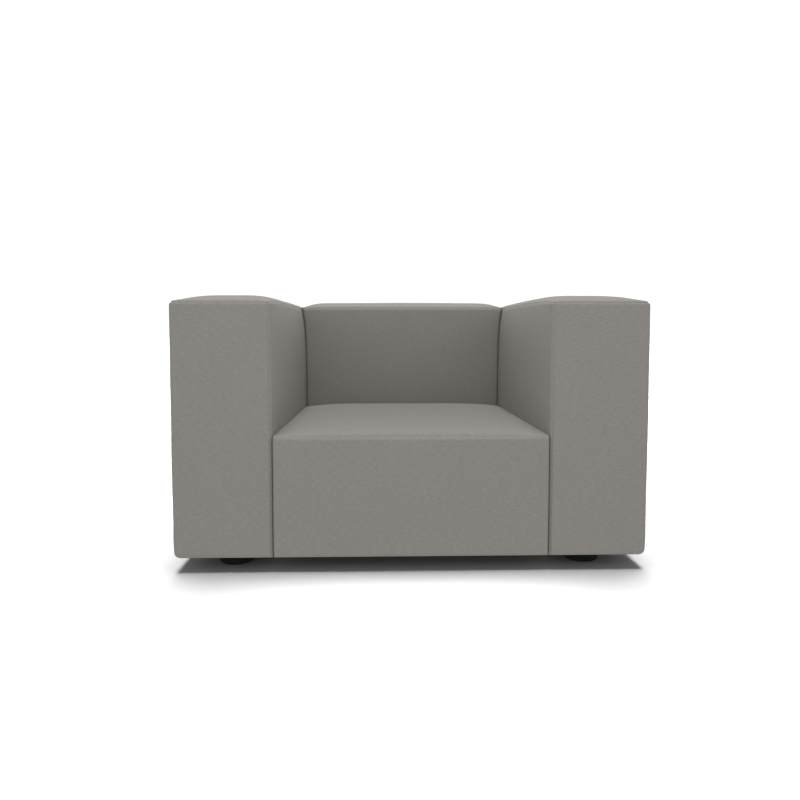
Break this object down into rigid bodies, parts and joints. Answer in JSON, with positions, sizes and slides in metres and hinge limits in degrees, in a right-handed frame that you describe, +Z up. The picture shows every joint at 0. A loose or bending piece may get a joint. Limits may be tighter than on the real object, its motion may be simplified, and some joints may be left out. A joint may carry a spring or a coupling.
{
  "type": "upholstered armchair",
  "caption": "Low block-shaped upholstered armchair: slab arms, a back and a seat, each a fabric-covered foam block on its own timber frame, standing on round puck feet.",
  "frame": {"origin": "on the floor, under the middle of the chair's overall width and depth", "axes": "+X to the right for someone facing the chair's front, +Y towards the back, +Z up"},
  "size_m": [1.2, 0.95, 0.7065],
  "materials": {
    "grey_weave": "warm grey melange weave, matt",
    "foam": "open-cell polyurethane foam",
    "pine_board": "planed softwood",
    "plywood": "sanded plywood",
    "hardboard": "smooth brown hardboard",
    "dust_cloth": "thin black non-woven cloth",
    "felt": "grey needled felt",
    "webbing": "woven elastic webbing",
    "spring_steel": "oil-hardened spring wire",
    "zinc_steel": "zinc plated",
    "black_plastic": "black, slightly satin"
  },
  "bodies": {
    "root": {"arm_left_bottom_board": "pine_board", "arm_left_cover": "grey_weave", "arm_left_dust_cloth": "dust_cloth", "arm_left_foam_wrap": "foam", "arm_left_front_board": "pine_board", "arm_left_inner_panel": "plywood", "arm_left_outer_panel": "hardboard", "arm_left_rear_board": "pine_board", "arm_left_top_board": "pine_board", "arm_left_top_pad": "foam", "arm_right_bottom_board": "pine_board", "arm_right_cover": "grey_weave", "arm_right_dust_cloth": "dust_cloth", "arm_right_foam_wrap": "foam", "arm_right_front_board": "pine_board", "arm_right_inner_panel": "plywood", "arm_right_outer_panel": "hardboard", "arm_right_rear_board": "pine_board", "arm_right_top_board": "pine_board", "arm_right_top_pad": "foam", "back_cover": "grey_weave", "back_dust_cloth": "dust_cloth", "back_foam_wrap": "foam", "back_left_post": "pine_board", "back_lower_rail": "pine_board", "back_rear_panel": "hardboard", "back_right_post": "pine_board", "back_screw_left": "zinc_steel", "back_screw_right": "zinc_steel", "back_top_pad": "foam", "back_top_rail": "pine_board", "back_web_1": "webbing", "back_web_2": "webbing", "back_web_3": "webbing", "foot_front_left": "black_plastic", "foot_front_right": "black_plastic", "foot_rear_left": "black_plastic", "foot_rear_right": "black_plastic", "foot_stud_front_left": "zinc_steel", "foot_stud_front_right": "zinc_steel", "foot_stud_rear_left": "zinc_steel", "foot_stud_rear_right": "zinc_steel", "rear_screw_left": "zinc_steel", "rear_screw_right": "zinc_steel", "seat_cover": "grey_weave", "seat_dust_cloth": "dust_cloth", "seat_felt": "felt", "seat_foam": "foam", "seat_foam_wrap": "foam", "seat_front_panel": "plywood", "seat_left_panel": "plywood", "seat_rear_panel": "plywood", "seat_right_panel": "plywood", "seat_screw_left": "zinc_steel", "seat_screw_right": "zinc_steel", "seat_spring_1": "spring_steel", "seat_spring_2": "spring_steel", "seat_spring_3": "spring_steel", "seat_spring_4": "spring_steel", "seat_spring_5": "spring_steel"}
  },
  "joints": []
}
